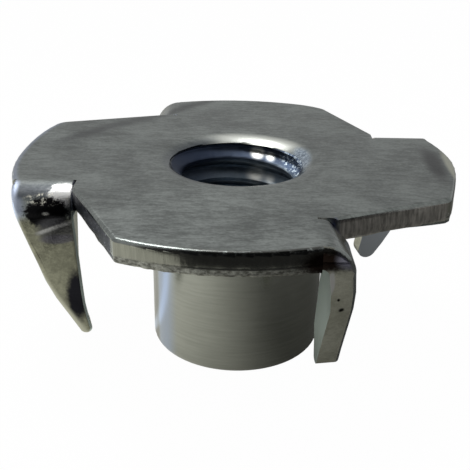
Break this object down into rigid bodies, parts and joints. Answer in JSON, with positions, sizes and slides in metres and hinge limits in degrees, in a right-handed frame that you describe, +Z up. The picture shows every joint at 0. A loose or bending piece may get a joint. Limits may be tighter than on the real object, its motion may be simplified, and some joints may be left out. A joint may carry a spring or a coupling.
{
  "type": "pronged tee nut",
  "caption": "Stamped steel tee nut: a short threaded barrel under a round flange, whose lobes are folded down into pointed prongs that bite into wood.",
  "frame": {"origin": "below the middle of the flange, level with the end of the barrel that the nut stands on", "axes": "+Z runs up the barrel and through the flange; +X points at the first prong, whose face is square to it, and the other three follow at quarter turns"},
  "size_m": [0.019, 0.019, 0.0086],
  "materials": {
    "zinc_plated_steel": "zinc plated, bright on the barrel and the folds and satin on the flange"
  },
  "bodies": {
    "root": {"tee_nut": "zinc_plated_steel"}
  },
  "joints": []
}
